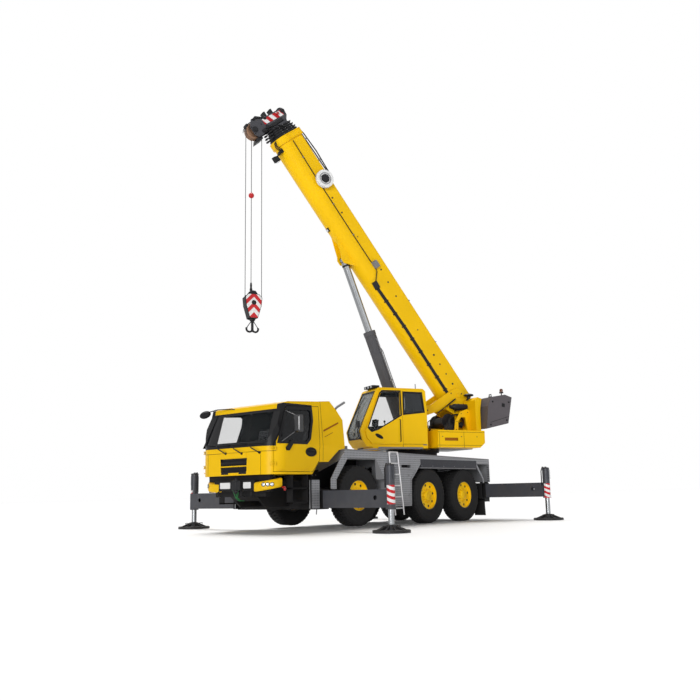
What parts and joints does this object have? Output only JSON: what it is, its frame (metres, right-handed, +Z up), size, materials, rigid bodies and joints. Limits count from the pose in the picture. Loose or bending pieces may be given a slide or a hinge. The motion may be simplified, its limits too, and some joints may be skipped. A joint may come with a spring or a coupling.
{
  "type": "mobile crane",
  "caption": "Road-going mobile crane with a telescopic boom raised over its cab, a hook block on wire rope and beam outriggers set down on round pads.",
  "frame": {"origin": "middle of the bounding box's foot, on the ground that the outrigger pads stand on", "axes": "+X towards the driver's cab, +Y to the vehicle's left, +Z up"},
  "size_m": [9.4339, 7.004, 11.2652],
  "materials": {
    "yellow_paint": "gloss enamel",
    "frame_grey": "satin enamel",
    "deck_grey": "checker plate",
    "steel_grey": "satin",
    "rod_chrome": "polished",
    "tyre_rubber": "matt",
    "black_plastic": "matt",
    "cab_glass": "clear"
  },
  "bodies": {
    "carrier": {"chassis_frame": "frame_grey", "deck_and_guards": "deck_grey", "axle_beams": "frame_grey", "power_unit": "black_plastic", "carrier_cab": "yellow_paint", "carrier_cab_glass": "cab_glass", "carrier_cab_interior": "black_plastic", "cab_seats": "black_plastic", "front_bumper": "frame_grey", "cab_mirrors": "black_plastic"},
    "door_right": {"cab_door_right": "yellow_paint", "cab_door_glass_right": "cab_glass"},
    "door_left": {"cab_door_left": "yellow_paint", "cab_door_glass_left": "cab_glass", "door_mirror_left": "black_plastic"},
    "knuckle_1_left": {"knuckle_1_left": "steel_grey"},
    "wheel_1_left": {"rim_1_left": "yellow_paint", "tyre_1_left": "tyre_rubber"},
    "knuckle_1_right": {"knuckle_1_right": "steel_grey"},
    "wheel_1_right": {"rim_1_right": "yellow_paint", "tyre_1_right": "tyre_rubber"},
    "knuckle_2_left": {"knuckle_2_left": "steel_grey"},
    "wheel_2_left": {"rim_2_left": "yellow_paint", "tyre_2_left": "tyre_rubber"},
    "knuckle_2_right": {"knuckle_2_right": "steel_grey"},
    "wheel_2_right": {"rim_2_right": "yellow_paint", "tyre_2_right": "tyre_rubber"},
    "knuckle_3_left": {"knuckle_3_left": "steel_grey"},
    "wheel_3_left": {"rim_3_left": "yellow_paint", "tyre_3_left": "tyre_rubber"},
    "knuckle_3_right": {"knuckle_3_right": "steel_grey"},
    "wheel_3_right": {"rim_3_right": "yellow_paint", "tyre_3_right": "tyre_rubber"},
    "outrigger_front_left": {"outrigger_beam_front_left": "frame_grey"},
    "jack_front_left": {"outrigger_jack_front_left": "steel_grey"},
    "outrigger_front_right": {"outrigger_beam_front_right": "frame_grey"},
    "jack_front_right": {"outrigger_jack_front_right": "steel_grey"},
    "outrigger_rear_left": {"outrigger_beam_rear_left": "frame_grey"},
    "jack_rear_left": {"outrigger_jack_rear_left": "steel_grey"},
    "outrigger_rear_right": {"outrigger_beam_rear_right": "frame_grey"},
    "jack_rear_right": {"outrigger_jack_rear_right": "steel_grey"},
    "superstructure": {"superstructure_frame": "yellow_paint", "counterweight": "yellow_paint", "hoist_winch": "steel_grey", "operator_cab": "yellow_paint", "operator_cab_glass": "cab_glass", "operator_seat": "black_plastic"},
    "operator_door": {"operator_door": "yellow_paint", "operator_door_glass": "cab_glass"},
    "boom_base": {"boom_base": "yellow_paint"},
    "boom_1": {"boom_section_1": "yellow_paint"},
    "boom_2": {"boom_section_2": "yellow_paint"},
    "boom_3": {"boom_section_3": "yellow_paint"},
    "boom_4": {"boom_section_4": "yellow_paint"},
    "boom_5": {"boom_section_5": "yellow_paint"},
    "luff_rod": {"luff_rod": "rod_chrome"},
    "luff_barrel": {"luff_barrel": "frame_grey"},
    "hoist_falls": {"hoist_ropes": "steel_grey"},
    "hook": {"hook_block": "yellow_paint"}
  },
  "joints": [
    {"name": "door_right", "type": "hinge", "parent": "carrier", "child": "door_right", "pos_m": [4.48249, -1.14, 1.6], "axis": [0, 0, 1], "range_deg": [0, 72]},
    {"name": "door_left", "type": "hinge", "parent": "carrier", "child": "door_left", "pos_m": [4.48249, 1.14, 1.6], "axis": [0, 0, -1], "range_deg": [0, 72]},
    {"name": "steer_1_left", "type": "hinge", "parent": "carrier", "child": "knuckle_1_left", "pos_m": [1.91249, 0.945, 0.736], "axis": [0, 0, 1], "range_deg": [-33, 33]},
    {"name": "spin_1_left", "type": "hinge", "parent": "knuckle_1_left", "child": "wheel_1_left", "pos_m": [1.91249, 1.05, 0.736], "axis": [0, 1, 0], "continuous": true},
    {"name": "steer_1_right", "type": "hinge", "parent": "carrier", "child": "knuckle_1_right", "pos_m": [1.91249, -0.945, 0.736], "axis": [0, 0, 1], "range_deg": [-33, 33]},
    {"name": "spin_1_right", "type": "hinge", "parent": "knuckle_1_right", "child": "wheel_1_right", "pos_m": [1.91249, -1.05, 0.736], "axis": [0, 1, 0], "continuous": true},
    {"name": "steer_2_left", "type": "hinge", "parent": "carrier", "child": "knuckle_2_left", "pos_m": [-0.84751, 0.945, 0.692], "axis": [0, 0, 1], "range_deg": [-18, 18]},
    {"name": "spin_2_left", "type": "hinge", "parent": "knuckle_2_left", "child": "wheel_2_left", "pos_m": [-0.84751, 1.05, 0.692], "axis": [0, 1, 0], "continuous": true},
    {"name": "steer_2_right", "type": "hinge", "parent": "carrier", "child": "knuckle_2_right", "pos_m": [-0.84751, -0.945, 0.692], "axis": [0, 0, 1], "range_deg": [-18, 18]},
    {"name": "spin_2_right", "type": "hinge", "parent": "knuckle_2_right", "child": "wheel_2_right", "pos_m": [-0.84751, -1.05, 0.692], "axis": [0, 1, 0], "continuous": true},
    {"name": "steer_3_left", "type": "hinge", "parent": "carrier", "child": "knuckle_3_left", "pos_m": [-2.49751, 0.945, 0.69], "axis": [0, 0, 1], "range_deg": [-20, 20]},
    {"name": "spin_3_left", "type": "hinge", "parent": "knuckle_3_left", "child": "wheel_3_left", "pos_m": [-2.49751, 1.05, 0.69], "axis": [0, 1, 0], "continuous": true},
    {"name": "steer_3_right", "type": "hinge", "parent": "carrier", "child": "knuckle_3_right", "pos_m": [-2.49751, -0.945, 0.69], "axis": [0, 0, 1], "range_deg": [-20, 20]},
    {"name": "spin_3_right", "type": "hinge", "parent": "knuckle_3_right", "child": "wheel_3_right", "pos_m": [-2.49751, -1.05, 0.69], "axis": [0, 1, 0], "continuous": true},
    {"name": "outrigger_front_left", "type": "slide", "parent": "carrier", "child": "outrigger_front_left", "axis": [0, 1, 0], "range_m": [-1.75, 0]},
    {"name": "jack_front_left", "type": "slide", "parent": "outrigger_front_left", "child": "jack_front_left", "axis": [0, 0, 1], "range_m": [0, 0.3]},
    {"name": "outrigger_front_right", "type": "slide", "parent": "carrier", "child": "outrigger_front_right", "axis": [0, -1, 0], "range_m": [-1.75, 0]},
    {"name": "jack_front_right", "type": "slide", "parent": "outrigger_front_right", "child": "jack_front_right", "axis": [0, 0, 1], "range_m": [0, 0.3]},
    {"name": "outrigger_rear_left", "type": "slide", "parent": "carrier", "child": "outrigger_rear_left", "axis": [0, 1, 0], "range_m": [-1.75, 0]},
    {"name": "jack_rear_left", "type": "slide", "parent": "outrigger_rear_left", "child": "jack_rear_left", "axis": [0, 0, 1], "range_m": [0, 0.41]},
    {"name": "outrigger_rear_right", "type": "slide", "parent": "carrier", "child": "outrigger_rear_right", "axis": [0, -1, 0], "range_m": [-1.75, 0]},
    {"name": "jack_rear_right", "type": "slide", "parent": "outrigger_rear_right", "child": "jack_rear_right", "axis": [0, 0, 1], "range_m": [0, 0.41]},
    {"name": "slew", "type": "hinge", "parent": "carrier", "child": "superstructure", "pos_m": [-1.86751, 0, 1.895], "axis": [0, 0, 1], "continuous": true},
    {"name": "operator_door", "type": "slide", "parent": "superstructure", "child": "operator_door", "axis": [-0.9219, 0.3875, 0], "range_m": [0, 0.9]},
    {"name": "luff", "type": "hinge", "parent": "superstructure", "child": "boom_base", "pos_m": [-3.1028, 0.51927, 3.44], "axis": [-0.3875, -0.9219, 0], "range_deg": [-53.6, 28.4]},
    {"name": "telescope_1", "type": "slide", "parent": "boom_base", "child": "boom_1", "axis": [0.5471, -0.23, 0.8049], "range_m": [0, 6.4]},
    {"name": "telescope_2", "type": "slide", "parent": "boom_1", "child": "boom_2", "axis": [0.5471, -0.23, 0.8049], "range_m": [0, 6.4]},
    {"name": "telescope_3", "type": "slide", "parent": "boom_2", "child": "boom_3", "axis": [0.5471, -0.23, 0.8049], "range_m": [0, 6.4]},
    {"name": "telescope_4", "type": "slide", "parent": "boom_3", "child": "boom_4", "axis": [0.5471, -0.23, 0.8049], "range_m": [0, 6.4]},
    {"name": "telescope_5", "type": "slide", "parent": "boom_4", "child": "boom_5", "axis": [0.5471, -0.23, 0.8049], "range_m": [0, 6.4]},
    {"name": "luff_rod_eye", "type": "hinge", "parent": "boom_base", "child": "luff_rod", "pos_m": [-0.00749, -0.78188, 7.15166], "axis": [-0.3875, -0.9219, 0], "range_deg": [-1.2, 0.7]},
    {"name": "luff_barrel_slide", "type": "slide", "parent": "luff_rod", "child": "luff_barrel", "axis": [-0.3207, 0.1348, -0.9375], "range_m": [-1.68, 0.9]},
    {"name": "fall_swing", "type": "hinge", "parent": "boom_5", "child": "hoist_falls", "pos_m": [2.44947, -1.81469, 10.42963], "axis": [-0.3875, -0.9219, 0], "range_deg": [-30, 55]},
    {"name": "hoist", "type": "slide", "parent": "hoist_falls", "child": "hook", "axis": [0, 0, -1], "range_m": [-3.4, 4.4], "deforming": ["hoist_ropes"]}
  ],
  "couplings": [
    {"joint": "steer_1_right", "follows": "steer_1_left", "ratio": 1},
    {"joint": "steer_2_left", "follows": "steer_1_left", "ratio": -0.54545},
    {"joint": "steer_2_right", "follows": "steer_1_left", "ratio": -0.54545},
    {"joint": "steer_3_left", "follows": "steer_1_left", "ratio": -0.60606},
    {"joint": "steer_3_right", "follows": "steer_1_left", "ratio": -0.60606},
    {"joint": "luff_rod_eye", "follows": "luff", "ratio": 0.02},
    {"joint": "luff_barrel_slide", "follows": "luff", "m_per_rad": 1.776},
    {"joint": "fall_swing", "follows": "luff", "ratio": -1}
  ]
}
